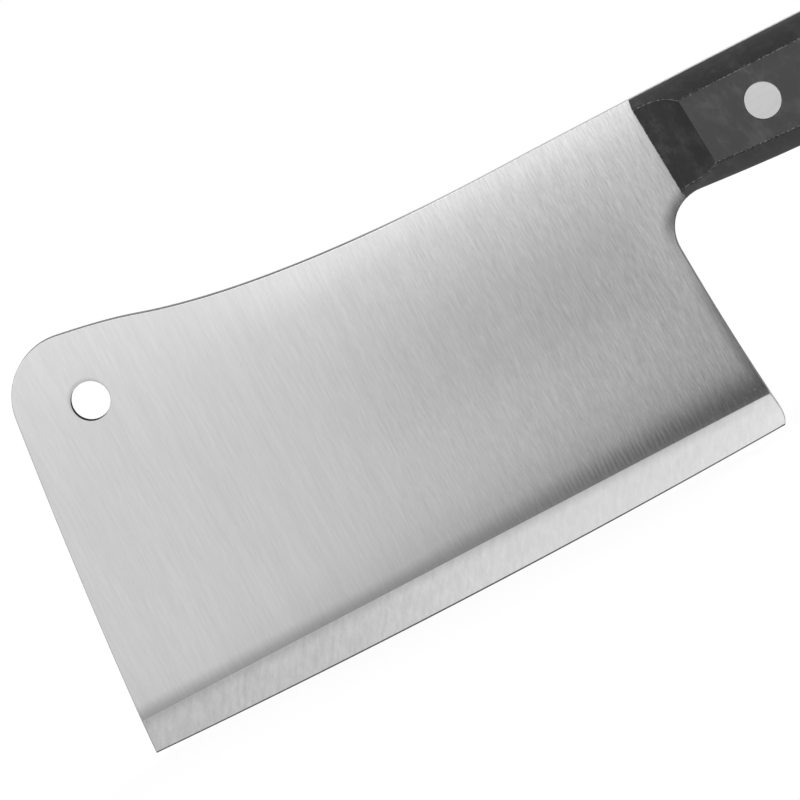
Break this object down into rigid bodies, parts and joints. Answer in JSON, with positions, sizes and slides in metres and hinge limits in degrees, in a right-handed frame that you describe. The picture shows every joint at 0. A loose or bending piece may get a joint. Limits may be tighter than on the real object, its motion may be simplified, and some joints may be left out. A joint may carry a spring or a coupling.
{
  "type": "meat cleaver",
  "caption": "Kitchen meat cleaver: tall rectangular full-tang steel blade with a hanging hole and a wide ground bevel, and black plastic scales riveted to the tang.",
  "frame": {"origin": "midway between toe and butt, in the blade's middle plane, level with the lowest point of the edge", "axes": "+X from the toe to the butt, +Y through the thickness towards the right-hand side, +Z from the edge to the spine"},
  "size_m": [0.314, 0.02, 0.1064],
  "materials": {
    "blade_steel": "fine brushed satin, grain running from spine to edge",
    "handle_plastic": "satin moulded acetal",
    "rivet_steel": "flush ground"
  },
  "bodies": {
    "root": {"blade": "blade_steel", "left_scale": "handle_plastic", "right_scale": "handle_plastic", "front_rivet_female": "rivet_steel", "front_rivet_male": "rivet_steel", "middle_rivet_female": "rivet_steel", "middle_rivet_male": "rivet_steel", "rear_rivet_female": "rivet_steel", "rear_rivet_male": "rivet_steel"}
  },
  "joints": []
}
